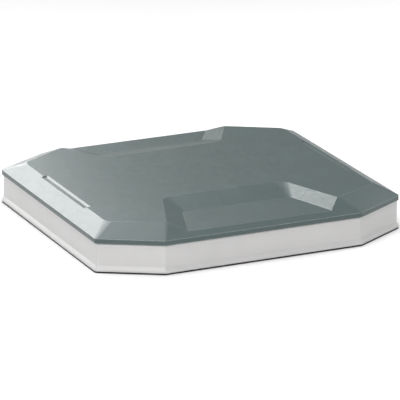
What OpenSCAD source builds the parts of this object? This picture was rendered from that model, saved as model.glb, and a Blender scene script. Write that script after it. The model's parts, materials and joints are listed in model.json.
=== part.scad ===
// Raised-curb manhole access cover: an eight-sided hinged lid on a flanged curb frame.
// +X runs along the long front edge, -Y faces the front, +Z is up.
// The origin is the centre of the footprint, on the underside of the base gasket.

/* [Lid] */
// Length of the lid over its rim
lid_l = 760; // [600:5:1000]
// Width of the lid over its rim
lid_w = 720; // [600:5:1000]
// Length of a corner cut along X
corner_x = 136; // [80:1:180]
// Length of a corner cut along Y
corner_y = 79; // [50:1:120]
// Radius of the rim's vertical corners
corner_r = 10; // [4:0.5:16]
// Height of the rim's upright band
rim_h = 11; // [8:0.5:16]
// Rise of the plateau above the rim
crown_h = 22.5; // [18:0.5:30]
// Plan width of the bevel on the short sides
bevel_x = 44; // [30:1:60]
// Plan width of the bevel on the front
bevel_front = 63.5; // [45:0.5:80]
// Plan width of the bevel on the back
bevel_back = 45; // [40:0.5:80]
// Length of the plateau's corner cuts along X
plateau_x = 123; // [60:1:150]
// Distance between the ends of the front and back corner cuts, on the plateau's short sides
plateau_side = 480; // [300:5:560]
// Thickness of the moulded shell
shell_t = 4; // [3:0.5:5]
// Thickness of the rim skirt
skirt_t = 5; // [4:0.5:6]
// Width of the thick edge that the liner is screwed to
edge_w = 16; // [14:0.5:20]
// Thickness of the liner pan
liner_t = 2; // [1.5:0.5:3]

/* [Recesses] */
// Depth of the hand recesses below the plateau
recess_depth = 15; // [8:0.5:17]
// How far the front recess reaches in from the rim
front_reach = 226; // [190:1:240]
// How far the back recess reaches in from the rim
back_reach = 157.5; // [150:0.5:240]
// Plan length of the ramp at a recess's inner end
ramp_run = 73; // [20:1:85]
// Half width of a recess at its inner end, on the plateau
recess_in_top = 152; // [110:0.5:170]
// Half width of a recess at its inner end, on the floor
recess_in_floor = 135; // [90:0.5:150]
// Half width of a recess where its floor runs out on the bevel
recess_out_floor = 178; // [150:1:200]
// Corner radius of a recess on the plateau
recess_r = 34; // [20:1:45]
// Corner radius of a recess on its floor
recess_floor_r = 14; // [6:1:20]
// Length of the step notches on the short sides
notch_l = 254; // [150:1:300]
// Plan width of a notch inside the plateau
notch_w = 10.5; // [6:0.5:16]
// Depth of a notch
notch_depth = 2.7; // [1.5:0.1:4]

/* [Curb] */
// Height from the underside of the base gasket to the top edge of the rim
curb_h = 80; // [76:1:200]
// How far the wall stands back from the lid's rim
wall_back = 3.5; // [2:0.5:4]
// Thickness of the curb wall
wall_t = 5.5; // [4:0.5:7]
// Gap between the rim skirt and the wall's shoulder
rim_gap = 1.5; // [1:0.1:3]
// Thickness of the upstand lip inside the skirt
lip_t = 4; // [3:0.5:5]
// Width of the sealing ledge inside the wall
ledge_w = 24; // [22:1:30]
// Thickness of the sealing ledge
ledge_t = 4; // [3:0.5:6]
// How far the foot stands out from the wall
foot_out = 5; // [4:0.5:20]
// Height of the foot's sloping top
foot_slope_h = 8.5; // [4:0.5:14]
// Height of the foot's upright edge
foot_edge_h = 4.5; // [3:0.5:8]
// Width of the base flange inside the wall
flange_w = 40; // [36:1:60]
// Thickness of the base flange
flange_t = 5; // [4:0.5:8]
// Thickness of the base gasket
gasket_t = 4; // [2:0.5:6]
// Radius of the anchor holes
anchor_r = 5.5; // [4:0.5:7]
// How far the long sides' anchor holes stand from the corner cuts
anchor_end_long = 64; // [40:1:120]
// How far the short sides' anchor holes stand from the corner cuts
anchor_end_short = 41; // [35:1:45]

/* [Hinges] */
// How far the middle of each hinge stands from the corner cuts
hinge_end = 64; // [50:1:100]
// Radius of the hinge knuckles
knuckle_r = 4.5; // [4:0.5:4.5]
// Length of one knuckle
knuckle_l = 30; // [20:1:40]
// Radius of the hinge pin
pin_r = 2.5; // [2:0.1:3]
// Thickness of the hinge leaves
leaf_t = 2.5; // [2:0.1:3]
// Height of the frame leaf below the pin
leaf_h = 30; // [24:1:36]

/* [Latch] */
// Distance of the latch spindle from the lid's front rim
latch_back = 65; // [60:1:90]
// Radius of the latch spindle
spindle_r = 8; // [6:0.5:10]
// Length of the tongue from the spindle's axis
tongue_l = 50; // [46:1:52]
// Length of the lever from the spindle's axis
lever_l = 110; // [80:1:130]

/* [Pull handle] */
// Length of the pull handle between its legs
pull_l = 150; // [100:5:200]
// Drop of the pull handle's bar below the liner
pull_drop = 32; // [28:1:36]
// Radius of the pull handle's bar
pull_r = 6; // [5:0.5:7]
// Distance of the pull handle from the lid's front rim
pull_back = 210; // [200:1:260]

/* [Hold-open arm] */
// Length of the arm between its pivot and the centre of its tip
arm_l = 300; // [250:1:310]
// Width of the arm
arm_w = 20; // [16:1:22]
// Thickness of the arm
arm_t = 5; // [4:0.5:6]
// Distance of the arm's pivot from the hinge pins
arm_pivot_back = 203; // [195:1:230]

/* [Gas strut] */
// Distance of the strut's lower pivot from the hinge pins
strut_low_back = 441; // [430:1:450]
// Distance of the strut's upper pivot from the hinge pins
strut_top_back = 120; // [118:1:123]
// Outer radius of the strut's tube
tube_r = 9.5; // [8.5:0.5:10]
// Wall of the strut's tube
tube_wall = 1.2; // [1:0.1:1.5]
// Length of the strut's tube
tube_l = 200; // [190:1:210]
// Radius of the strut's rod
rod_r = 4; // [3:0.5:5]

/* [Hidden] */
$fn = 48;

// Colours
paint_light = [0.80, 0.81, 0.80];
moulding_green = [0.33, 0.38, 0.38];
rubber_black = [0.12, 0.12, 0.13];
zinc = [0.70, 0.72, 0.74];
steel_dark = [0.25, 0.26, 0.28];
core_tan = [0.86, 0.80, 0.62];
grip_black = [0.10, 0.10, 0.11];

// Clearances
fit = 0.05;         // round a shaft that turns
slip = 0.2;         // round a screw, and between the core and its shell
rest_gap = 0.3;     // between pieces of different bodies that meet when the lid is closed
eps = 0.01;
past = 1;           // how far a cutter runs past a face

// Levels
rim_top = curb_h;
rim_bottom = rim_top - rim_h;
plateau_z = rim_top + crown_h;
recess_z = plateau_z - recess_depth;
shoulder_z = rim_bottom - rim_gap;
liner_up = 3;       // from the rim's underside up to the liner
liner_z = rim_bottom + liner_up;
liner_top = liner_z + liner_t;
seal_room = 8;      // between the ledge and the liner
ledge_z = liner_z - seal_room;
ledge_under = ledge_z - ledge_t;
flange_top = gasket_t + flange_t;
foot_edge_z = gasket_t + foot_edge_h;
foot_top = foot_edge_z + foot_slope_h;

// Plan insets, measured in from the lid's rim
wall_in = wall_back + wall_t;
lip_back = 0.5;     // how far the lip's outer face stands over the wall
lip_out = wall_in - lip_back;
lip_in = lip_out + lip_t;
ledge_in = wall_in + ledge_w;
flange_in = wall_in + flange_w;
foot_in = wall_back - foot_out;
foot_land = 0.5;    // how far the foot's slope reaches into the wall
gasket_out = 1;     // from the foot's edge in to the gasket's
gasket_back = 2;    // from the base flange's inner edge out to the gasket's
liner_in = skirt_t + slip;

// Plan of the lid, an octagon with its four corners cut
half_l = lid_l / 2;
half_w = lid_w / 2;
cut_len = norm([corner_x, corner_y]);
cut_nx = corner_y / cut_len;
cut_ny = corner_x / cut_len;
cut_k = cut_nx * half_l + cut_ny * (half_w - corner_y);

function quarter_to_octagon(a, b) = [
    [a.x, -a.y], a, b, [-b.x, b.y], [-a.x, a.y], [-a.x, -a.y], [-b.x, -b.y], [b.x, -b.y]
];

// The rim's octagon moved in by d all round, anticlockwise
function octagon(d) =
    let (hx = half_l - d, hy = half_w - d, k = cut_k - d)
    quarter_to_octagon([hx, (k - cut_nx * hx) / cut_ny], [(k - cut_ny * hy) / cut_nx, hy]);

// The plateau's outline moved in by d, anticlockwise from its front right corner
function plateau_octagon(d = 0) =
    let (hx = half_l - bevel_x - d,
         cx = half_l - bevel_x - plateau_x - d / 2,
         sy = plateau_side / 2 - d / 2,
         back = half_w - bevel_back - d,
         front = half_w - bevel_front - d)
    [[hx, -sy], [hx, sy], [cx, back], [-cx, back], [-hx, sy], [-hx, -sy], [-cx, -front], [cx, -front]];

function unit(v) = v / norm(v);

// A convex, anticlockwise outline with its corners rounded to radius r
function rounded(pts, r, steps = 4) = [
    for (i = [0 : len(pts) - 1])
        let (p = pts[i],
             u = unit(pts[(i + len(pts) - 1) % len(pts)] - p),
             v = unit(pts[(i + 1) % len(pts)] - p),
             inside = acos(u * v),
             c = p + unit(u + v) * r / sin(inside / 2),
             s = p + u * r / tan(inside / 2) - c,
             a = atan2(s.y, s.x))
        for (k = [0 : steps])
            let (turn = a + k * (180 - inside) / steps)
            c + r * [cos(turn), sin(turn)]
];

least_r = 2;        // the tightest corner of the rim's inset outlines
function rim_outline(d) = rounded(octagon(d), max(corner_r - d, least_r));

module band(inset_out, inset_in, z0, z1) {
    translate([0, 0, z0]) linear_extrude(z1 - z0) difference() {
        polygon(rim_outline(inset_out));
        polygon(rim_outline(inset_in));
    }
}

// A solid through outlines stacked from the lowest up, each given as [points, z]
module loft(rings) {
    n = len(rings[0][0]);
    last = (len(rings) - 1) * n;
    polyhedron(
        [for (ring = rings, p = ring[0]) [p.x, p.y, ring[1]]],
        concat(
            [[for (i = [0 : n - 1]) i]],
            [[for (i = [n - 1 : -1 : 0]) last + i]],
            [for (k = [0 : n : last - n], i = [0 : n - 1])
                let (a = k + i, b = k + (i + 1) % n)
                each [[a, a + n, b], [b, a + n, b + n]]]));
}

// A box given by its two opposite corners
module block(a, b) {
    translate(a) cube(b - a);
}

// A cylinder along X, centred on x
module rod_x(x, y, z, r, l) {
    translate([x - l / 2, y, z]) rotate([0, 90, 0]) cylinder(r = r, h = l);
}

module mirror_x() {
    children();
    mirror([1, 0, 0]) children();
}

// Hinge line
hinge_y = half_w - wall_back + knuckle_r + rest_gap;
hinge_drop = 1;                 // from the shoulder down to the knuckles
hinge_z = shoulder_z - hinge_drop - knuckle_r;
hinge_x = half_l - corner_x - hinge_end;
hinge_xs = [-hinge_x, hinge_x];
hinge_half = 1.5 * knuckle_l;
hinge_screw_dx = knuckle_l;
hinge_bolt_drops = [8, 22];     // below the knuckles
hinge_nut_h = 4;
leaf_margin = 1;                // from a lid leaf's end to the rim's edges
knuckle_gap = 0.4;
knuckle_land = 1;               // how far a leaf reaches into its knuckle's wall
pin_head_l = 2;
pin_head_step = 0.7;            // a pin's head inside its knuckle's outline
pin_head_r = knuckle_r - pin_head_step;
lid_open = 100;                 // how far the lid opens, in degrees

// Screws and bolts: shank radius, head radius, head height
m4 = 2;
m5 = 2.5;
m6 = 3;
head_ratio = 1.9;
head_tall = 0.9;
nut_ratio = 1.8;

// A pan-head screw, head down, with its seat at the origin and its shank along +Z
module screw_up(r, l) {
    cylinder(r = r, h = l);
    translate([0, 0, -head_tall * r]) cylinder(r = head_ratio * r, h = head_tall * r);
}

module screw_down(r, l) {
    mirror([0, 0, 1]) screw_up(r, l);
}

module hex_nut(r, h) {
    difference() {
        cylinder(r = nut_ratio * r, h = h, $fn = 6);
        translate([0, 0, -past]) cylinder(r = r + fit, h = h + 2 * past);
    }
}

// Hardware under the lid
plate_t = 3;
plate_z = liner_z - plate_t;
lid_screw_bite = 4;     // what a screw reaches into the core
lid_screw_l = plate_t + liner_t + lid_screw_bite;
latch_y = -half_w + latch_back;
pull_y = -half_w + pull_back;

// Latch case and its screws
case_l = 50;
case_w = 44;
case_h = 14;
case_flange_l = 92;
case_cap = 1;       // what is left over the spindle's bore
latch_gap = 1;      // between the latch's pieces along the spindle
case_z = liner_z - case_h;
case_screw_in = [9, 8];         // from the flange's edges
case_screws = [for (sx = [-1, 1], sy = [-1, 1])
    [sx * (case_flange_l / 2 - case_screw_in.x), latch_y + sy * (case_w / 2 - case_screw_in.y)]];

// Tongue, lever and nut on the spindle, from the case down
tongue_t = 5;
tongue_w = 24;
tongue_drop = 0.5;  // more room under the case's cap
tongue_top = case_z - latch_gap - tongue_drop;
tongue_z = tongue_top - tongue_t;
lever_t = 10;
lever_z = tongue_z - latch_gap - lever_t;
lever_hub_r = 14;
lever_end_r = 8;
lever_tip_r = 6;
latch_nut_h = 5;
latch_nut_r = 13;
spindle_bottom = lever_z - latch_nut_h;
grip_l = 60;
grip_r = 11;
grip_cap = 2;
grip_air = 1;       // between the lever's tip and the grip's cap

// Latch keeper under the ledge
keeper_gap = 0.5;
keeper_t = ledge_under - tongue_top - keeper_gap;
keeper_l = 70;
keeper_y = -half_w + (lip_in + ledge_in) / 2;
keeper_w = 16;
keeper_screw_dx = 25;
countersink_r = 3.6;
countersink_h = 2;

// Pull handle
pull_flange_r = 17;
pull_screw_dy = 11.5;
pull_bar_z = liner_z - pull_drop;
pull_bend_r = 10;
pull_screws = [for (sx = [-1, 1], sy = [-1, 1]) [sx * pull_l / 2, pull_y + sy * pull_screw_dy]];

// Side brackets on the base flange: the arm on the left, the strut on the right
upright_over = 8;   // how far an upright stands inside the flange
upright_in = half_l - flange_in - upright_over;
upright_t = 3;
ear_r = 17;         // half the width of an upright, and its round top
side_gap = 0.5;     // beside a moving arm or eye
side_pivot_up = 31;
side_pivot_z = flange_top + side_pivot_up;
side_bracket_l = 50;
side_bracket_w = 34;
side_bolt_dy = 16;
side_bolt_in = 17;  // from an upright to its bracket's bolts
side_bolt_x = upright_in + upright_t + side_bolt_in;
arm_y = hinge_y - arm_pivot_back;
arm_x = upright_in - side_gap - arm_t / 2;
arm_pivot_r = 5;
arm_grip_l = 100;
arm_grip_wall = 2;
arm_grip_at = 0.45; // where the grip starts, as a share of the arm's length

// Catch on the lid that takes the arm's tip at full opening
catch_back = 173;    // from the hinge pins
catch_y = hinge_y - catch_back;
catch_l = 44;
catch_drop = 14;
catch_wall = 2.5;
catch_gap = 1.5;
catch_flange = 16;
catch_screw_x = arm_x - arm_t / 2 - catch_gap - catch_wall - catch_flange / 2;
catch_screw_dy = 13;
catch_screws = [for (sy = [-1, 1]) [-catch_screw_x, catch_y + sy * catch_screw_dy]];

// Strut: lower pivot, upper pivot and the line between them
strut_low = [hinge_y - strut_low_back, side_pivot_z];
strut_top_drop = 14;
strut_top = [hinge_y - strut_top_back, hinge_z - strut_top_drop];
strut_len = norm(strut_top - strut_low);
strut_angle = atan2(strut_top.y - strut_low.y, strut_top.x - strut_low.x);
eye_r = 7;
eye_w = 8;
eye_gap = 1;                    // between an eye and its upright
eye_shank_r = 3.5;
eye_pin_r = 4;
eye_pin_rim = 1.5;              // how far a pin's head reaches past its shank
strut_x = upright_in - eye_gap - eye_w / 2;
tube_clear = 3;                 // between an ear and the tube
tube_start = ear_r + tube_clear;
tube_floor = 3;
gland_l = 12;
piston_l = 8;
piston_tail = 2;                // what the rod shows past its piston
piston_gap = 4;                 // between piston and gland with the lid fully open
rod_tail = 16;

// Where the upper pivot is with the lid fully open, and so how far the rod comes out
strut_arm = [-strut_top_back, -strut_top_drop];
strut_open = [hinge_y, hinge_z] + [
    strut_arm.x * cos(lid_open) + strut_arm.y * sin(lid_open),
    strut_arm.y * cos(lid_open) - strut_arm.x * sin(lid_open)];
stroke = norm(strut_open - strut_low) - strut_len;
rod_inside = stroke + gland_l + piston_gap + piston_l + piston_tail;

lid_bracket_l = 40;
lid_bracket_w = 24;
lid_ear_r = 11;
strut_screw_edge = 6;
strut_screw_x = upright_in + lid_bracket_w - strut_screw_edge;
strut_screw_dy = 14;
strut_screws = [for (sy = [-1, 1]) [strut_screw_x, strut_top.x + sy * strut_screw_dy]];

lid_screws = concat(case_screws, pull_screws, catch_screws, strut_screws);

// Anchor holes and the bolts of the side brackets, all in the base flange
anchor_from_wall = 21;
anchor_in = wall_in + anchor_from_wall;
anchor_x = half_l - corner_x - anchor_end_long;
anchor_y = half_w - corner_y - anchor_end_short;
anchors = concat(
    [for (sx = [-1, 1], sy = [-1, 1]) [sx * anchor_x, sy * (half_w - anchor_in)]],
    [for (sx = [-1, 1], sy = [-1, 1]) [sx * (half_l - anchor_in), sy * anchor_y]]);
bracket_bolts = concat(
    [for (sy = [-1, 1]) [-side_bolt_x, arm_y + sy * side_bolt_dy]],
    [for (sy = [-1, 1]) [side_bolt_x, strut_low.x + sy * side_bolt_dy]]);

// Screws that hold the liner to the shell's thick edge
liner_screw_in = 10.5;
liner_screw_l = 8;
cut_mid = (octagon(liner_screw_in)[1] + octagon(liner_screw_in)[2]) / 2;
liner_screw_end = [19, 66];     // from the corner cuts, on the long and short sides
liner_screw_share = 0.35;       // where the inner screws sit, as a share of the outer ones' distance
liner_screw_x = half_l - corner_x - liner_screw_end.x;
liner_screw_y = half_w - corner_y - liner_screw_end.y;
liner_screw_at = concat(
    [for (sx = [-1, 1], sy = [-1, 1], f = [liner_screw_share, 1])
        [sx * f * liner_screw_x, sy * (half_w - liner_screw_in)]],
    [for (sx = [-1, 1], sy = [-1, 1], f = [liner_screw_share, 1])
        [sx * (half_l - liner_screw_in), sy * f * liner_screw_y]],
    [for (sx = [-1, 1], sy = [-1, 1]) [sx * cut_mid.x, sy * cut_mid.y]]);

// Stiffener bars inside the core
stiffener_ys = [-60, 120];
stiffener_end = 100;    // from a stiffener's end to the lid's
stiffener_l = lid_l - 2 * stiffener_end;
stiffener_w = 24;
stiffener_h = 12;
stiffener_wall = 2;

module holes_at(points, r, z0, z1) {
    for (p = points) translate([p.x, p.y, z0]) cylinder(r = r, h = z1 - z0);
}

// ---- Lid shell ----

recess_steps = 6;   // edges round each corner of a recess

// Half of a recess's outline at level t: 0 on its floor, 1 on the plateau
function recess_corner_in(reach, t) = [
    recess_in_floor + (recess_in_top - recess_in_floor) * t,
    half_w - reach + ramp_run * (1 - t)
];
function recess_corner_out(bevel, t) =
    let (run_out = bevel * (crown_h - recess_depth) / crown_h)
    [recess_out_floor + (half_l - bevel_x - plateau_x - recess_out_floor) * t,
     half_w - run_out + (run_out - bevel) * t];

// A recess's outline at level t, made bigger by grow
function recess_outline(reach, bevel, t, grow) =
    let (a = recess_corner_in(reach, t),
         b = recess_corner_out(bevel, t),
         c = b + (b - a) * (half_w + recess_r + past + grow - b.y) / (b.y - a.y),
         r = recess_floor_r + (recess_r - recess_floor_r) * t)
    offset_out(rounded([[c.x, c.y], [-c.x, c.y], [-a.x, a.y], [a.x, a.y]], r, recess_steps), grow);

// A recess on the +Y side, from its floor to just past the plateau
module recess_cutter(reach, bevel, grow = 0) {
    over = 1 + (grow + past) / recess_depth;
    loft([for (t = [0, over])
        [recess_outline(reach, bevel, t, grow), recess_z - grow + recess_depth * t]]);
}

// Moves an outline's points away from the X = 0 line and towards the lid's middle
function offset_out(pts, g) = [for (p = pts) [p.x + sign(p.x) * g, p.y - g]];

module recess_pair(grow = 0) {
    recess_cutter(back_reach, bevel_back, grow);
    mirror([0, 1, 0]) recess_cutter(front_reach, bevel_front, grow);
}

// A step along the plateau's short edge, running out on the bevel
module notch_cutter() {
    slope_run = notch_depth * bevel_x / crown_h;
    edge = half_l - bevel_x;
    translate([0, notch_l / 2, 0]) rotate([90, 0, 0]) linear_extrude(notch_l) polygon([
        [edge - notch_w - slope_run / notch_depth * past, plateau_z + past],
        [edge - notch_w + slope_run, plateau_z - notch_depth],
        [edge + 2 * slope_run, plateau_z - notch_depth],
        [edge + 2 * slope_run, plateau_z + past]
    ]);
}

module lid_solid() {
    loft([
        [rim_outline(0), rim_bottom],
        [rim_outline(0), rim_top],
        [rounded(plateau_octagon(), corner_r), plateau_z]
    ]);
}

// The space inside the shell, above the liner
edge_step = 2;      // how far below the rim's top its thick edge ends
module lid_cavity(gap = 0) {
    difference() {
        loft([
            [octagon(edge_w + gap), liner_top],
            [octagon(edge_w + gap), rim_top - edge_step],
            [plateau_octagon(shell_t + gap), plateau_z - shell_t - gap]
        ]);
        recess_pair(shell_t + gap);
    }
}

module lid_shell() {
    color(moulding_green) difference() {
        lid_solid();
        recess_pair();
        mirror_x() notch_cutter();
        lid_cavity();
        translate([0, 0, rim_bottom - past]) linear_extrude(liner_top - rim_bottom + past)
            polygon(rim_outline(skirt_t));
        holes_at(liner_screw_at, m4 + slip, liner_z - past, liner_z + liner_screw_l + past);
        hinge_lid_screw_holes();
    }
}

module lid_core() {
    color(core_tan) difference() {
        lid_cavity(slip);
        for (y = stiffener_ys)
            block([-stiffener_l / 2 - slip, y - stiffener_w / 2 - slip, liner_top - past],
                  [stiffener_l / 2 + slip, y + stiffener_w / 2 + slip, liner_top + stiffener_h + slip]);
        holes_at(lid_screws, m5 + slip, liner_z, plate_z + lid_screw_l + past);
    }
}

module lid_stiffeners() {
    color(zinc) for (y = stiffener_ys) difference() {
        block([-stiffener_l / 2, y - stiffener_w / 2, liner_top],
              [stiffener_l / 2, y + stiffener_w / 2, liner_top + stiffener_h]);
        block([-stiffener_l / 2 - past, y - stiffener_w / 2 + stiffener_wall, liner_top + stiffener_wall],
              [stiffener_l / 2 + past, y + stiffener_w / 2 - stiffener_wall,
               liner_top + stiffener_h - stiffener_wall]);
    }
}

module lid_liner() {
    color(paint_light) difference() {
        translate([0, 0, liner_z]) linear_extrude(liner_t) polygon(rim_outline(liner_in));
        holes_at(liner_screw_at, m4 + slip, liner_z - past, liner_top + past);
        holes_at(lid_screws, m5 + slip, liner_z - past, liner_top + past);
    }
}

module liner_screws() {
    color(zinc) for (p = liner_screw_at) translate([p.x, p.y, liner_z]) screw_up(m4, liner_screw_l);
}

// ---- Curb ----

// The foot's sloping top, a ring whose outer face runs from the foot's edge up to the wall
module foot_slope() {
    low = rim_outline(foot_in);
    high = rim_outline(wall_back);
    inside = rim_outline(wall_in - foot_land);
    n = len(low);
    function ring(pts, z) = [for (p = pts) [p.x, p.y, z]];
    function side(a, b) = [for (i = [0 : n - 1]) each
        [[a * n + i, b * n + i, b * n + (i + 1) % n], [a * n + i, b * n + (i + 1) % n, a * n + (i + 1) % n]]];
    polyhedron(
        concat(ring(low, foot_edge_z), ring(high, foot_top),
               ring(inside, foot_top), ring(inside, foot_edge_z)),
        concat(side(0, 1), side(1, 2), side(2, 3), side(3, 0)));
}

module curb_frame() {
    color(paint_light) difference() {
        union() {
            band(wall_back, wall_in, gasket_t, shoulder_z);
            band(lip_out, lip_in, ledge_under, rim_bottom);
            band(wall_in - eps, ledge_in, ledge_under, ledge_z);
            band(wall_in - eps, flange_in, gasket_t, flange_top);
            band(foot_in, wall_in, gasket_t, foot_edge_z);
            foot_slope();
        }
        holes_at(anchors, anchor_r, gasket_t - past, flange_top + past);
        holes_at(bracket_bolts, m6 + slip, gasket_t - past, flange_top + past);
        hinge_bolt_holes();
        for (sx = [-1, 1]) translate([sx * keeper_screw_dx, keeper_y, ledge_under - past])
            cylinder(r = m4 + slip, h = ledge_t + 2 * past);
    }
}

module base_gasket() {
    color(rubber_black) difference() {
        band(foot_in + gasket_out, flange_in - gasket_back, 0, gasket_t);
        holes_at(anchors, anchor_r, -past, gasket_t + past);
    }
}

// A bulb seal on the ledge, just under the liner
seal_in = 15;
seal_w = 8;
module frame_seal() {
    color(rubber_black) band(seal_in, seal_in + seal_w, ledge_z, liner_z - rest_gap);
}

pad_l = 40;
pad_w = 7;
pad_gap = 1;        // between a pad and the seal
pad_end = 94;       // from the corner cuts
module rest_pads() {
    pad_x = half_l - corner_x - pad_end;
    pad_y = half_w - seal_in - seal_w - pad_gap - pad_w / 2;
    color(rubber_black) for (sx = [-1, 1], sy = [-1, 1])
        block([sx * pad_x - pad_l / 2, sy * pad_y - pad_w / 2, ledge_z],
              [sx * pad_x + pad_l / 2, sy * pad_y + pad_w / 2, liner_z - rest_gap]);
}

// ---- Hinges ----

module hinge_bolt_holes() {
    for (x = hinge_xs, dx = [-1, 1], drop = hinge_bolt_drops)
        translate([x + dx * hinge_screw_dx, half_w - wall_in - past, hinge_z - knuckle_r - drop])
            rotate([-90, 0, 0]) cylinder(r = m5 + slip, h = wall_in + foot_out);
}

hinge_lid_screw_up = 7;
hinge_lid_screw_z = rim_bottom + hinge_lid_screw_up;
hinge_lid_screw_l = 10;     // what the screw reaches into the lid's edge
module hinge_lid_screw_holes() {
    for (x = hinge_xs, dx = [-1, 1])
        translate([x + dx * hinge_screw_dx, half_w - hinge_lid_screw_l - past, hinge_lid_screw_z])
            rotate([-90, 0, 0]) cylinder(r = m4 + slip, h = hinge_lid_screw_l + 2 * past);
}

module knuckle(x, l) {
    difference() {
        rod_x(x, hinge_y, hinge_z, knuckle_r, l);
        rod_x(x, hinge_y, hinge_z, pin_r + fit, l + 2 * past);
    }
}

module hinge_frame_leaves() {
    leaf_y = half_w - wall_back;
    color(zinc) for (x = hinge_xs) {
        for (dx = [-knuckle_l, knuckle_l]) {
            knuckle(x + dx, knuckle_l - knuckle_gap);
        }
        difference() {
            block([x - hinge_half, leaf_y, hinge_z - knuckle_r - leaf_h],
                  [x + hinge_half, leaf_y + leaf_t, hinge_z - knuckle_r - knuckle_land]);
            for (dx = [-1, 1], drop = hinge_bolt_drops)
                translate([x + dx * hinge_screw_dx, leaf_y - past, hinge_z - knuckle_r - drop])
                    rotate([-90, 0, 0]) cylinder(r = m5 + slip, h = leaf_t + 2 * past);
        }
        for (dx = [-knuckle_l, knuckle_l]) difference() {
            block([x + dx - (knuckle_l - knuckle_gap) / 2, leaf_y, hinge_z - knuckle_r - knuckle_land],
                  [x + dx + (knuckle_l - knuckle_gap) / 2, leaf_y + leaf_t, hinge_z]);
            rod_x(x + dx, hinge_y, hinge_z, knuckle_r - knuckle_land, knuckle_l);
        }
    }
}

module hinge_pins() {
    color(zinc) for (x = hinge_xs) {
        rod_x(x, hinge_y, hinge_z, pin_r, 2 * hinge_half);
        for (s = [-1, 1])
            rod_x(x + s * (hinge_half + pin_head_l / 2), hinge_y, hinge_z, pin_head_r, pin_head_l);
    }
}

module hinge_bolts() {
    color(zinc) for (x = hinge_xs, dx = [-1, 1], drop = hinge_bolt_drops)
        translate([x + dx * hinge_screw_dx, half_w - wall_back + leaf_t, hinge_z - knuckle_r - drop])
            rotate([90, 0, 0]) screw_up(m5, leaf_t + wall_t + hinge_nut_h);
}

module hinge_nuts() {
    color(zinc) for (x = hinge_xs, dx = [-1, 1], drop = hinge_bolt_drops)
        translate([x + dx * hinge_screw_dx, half_w - wall_in, hinge_z - knuckle_r - drop])
            rotate([90, 0, 0]) hex_nut(m5, hinge_nut_h);
}

module hinge_lid_leaves() {
    leaf_top = rim_top - leaf_margin;
    color(zinc) for (x = hinge_xs) {
        knuckle(x, knuckle_l - knuckle_gap);
        difference() {
            union() {
                block([x - (knuckle_l - knuckle_gap) / 2, half_w, hinge_z],
                      [x + (knuckle_l - knuckle_gap) / 2, half_w + leaf_t, leaf_top]);
                block([x - hinge_half, half_w, rim_bottom + leaf_margin],
                      [x + hinge_half, half_w + leaf_t, leaf_top]);
            }
            rod_x(x, hinge_y, hinge_z, knuckle_r - knuckle_land, knuckle_l);
            for (dx = [-1, 1]) translate([x + dx * hinge_screw_dx, half_w - past, hinge_lid_screw_z])
                rotate([-90, 0, 0]) cylinder(r = m4 + slip, h = leaf_t + 2 * past);
        }
    }
}

module hinge_lid_screws() {
    color(zinc) for (x = hinge_xs, dx = [-1, 1])
        translate([x + dx * hinge_screw_dx, half_w + leaf_t, hinge_lid_screw_z])
            rotate([90, 0, 0]) screw_up(m4, leaf_t + hinge_lid_screw_l);
}

// ---- Latch ----

module latch_case() {
    color(zinc) difference() {
        union() {
            block([-case_l / 2, latch_y - case_w / 2, case_z], [case_l / 2, latch_y + case_w / 2, liner_z]);
            block([-case_flange_l / 2, latch_y - case_w / 2, plate_z],
                  [case_flange_l / 2, latch_y + case_w / 2, liner_z]);
        }
        translate([0, latch_y, case_z - past]) cylinder(r = spindle_r + fit, h = case_h - case_cap + past);
        holes_at(case_screws, m5 + slip, plate_z - past, liner_z + past);
    }
}

module plate_screws(points) {
    color(zinc) for (p = points) translate([p.x, p.y, plate_z]) screw_up(m5, lid_screw_l);
}

module latch_case_screws() { plate_screws(case_screws); }

module latch_spindle() {
    color(steel_dark) translate([0, latch_y, 0]) {
        translate([0, 0, spindle_bottom])
            cylinder(r = spindle_r, h = liner_z - case_cap - rest_gap - spindle_bottom);
    }
}

module latch_tongue() {
    color(zinc) translate([0, latch_y, tongue_z]) difference() {
        union() {
            cylinder(r = tongue_w / 2, h = tongue_t);
            translate([0, -tongue_w / 2, 0]) cube([tongue_l, tongue_w, tongue_t]);
        }
        translate([0, 0, -past]) cylinder(r = spindle_r + fit, h = tongue_t + 2 * past);
    }
}

module latch_lever() {
    color(steel_dark) translate([0, latch_y, lever_z]) difference() {
        union() {
            cylinder(r = lever_hub_r, h = lever_t);
            hull() {
                cylinder(r = lever_end_r, h = lever_t, $fn = 32);
                translate([-lever_l + lever_end_r, 0, 0]) cylinder(r = lever_tip_r, h = lever_t, $fn = 32);
            }
        }
        translate([0, 0, -past]) cylinder(r = spindle_r + fit, h = lever_t + 2 * past);
    }
}

// A sleeve pushed over the lever's end
module latch_grip() {
    grip_x = -lever_l - grip_air - grip_cap;
    color(grip_black) translate([grip_x, latch_y, lever_z + lever_t / 2]) difference() {
        union() {
            rotate([0, 90, 0]) cylinder(r = grip_r, h = grip_l - grip_r);
            translate([grip_l - grip_r, 0, 0]) sphere(r = grip_r);
        }
        translate([grip_cap, -lever_end_r - slip, -lever_t / 2 - slip])
            cube([grip_l + grip_r, 2 * (lever_end_r + slip), lever_t + 2 * slip]);
    }
}

module latch_nut() {
    color(zinc) translate([0, latch_y, spindle_bottom]) difference() {
        cylinder(r = latch_nut_r, h = latch_nut_h, $fn = 6);
        translate([0, 0, -past]) cylinder(r = spindle_r + fit, h = latch_nut_h + 2 * past);
    }
}

module keeper_cones(grow) {
    for (sx = [-1, 1]) translate([sx * keeper_screw_dx, keeper_y, ledge_under - keeper_t])
        cylinder(r1 = countersink_r + grow, r2 = m4 + grow, h = min(countersink_h, keeper_t - slip));
}

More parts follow.
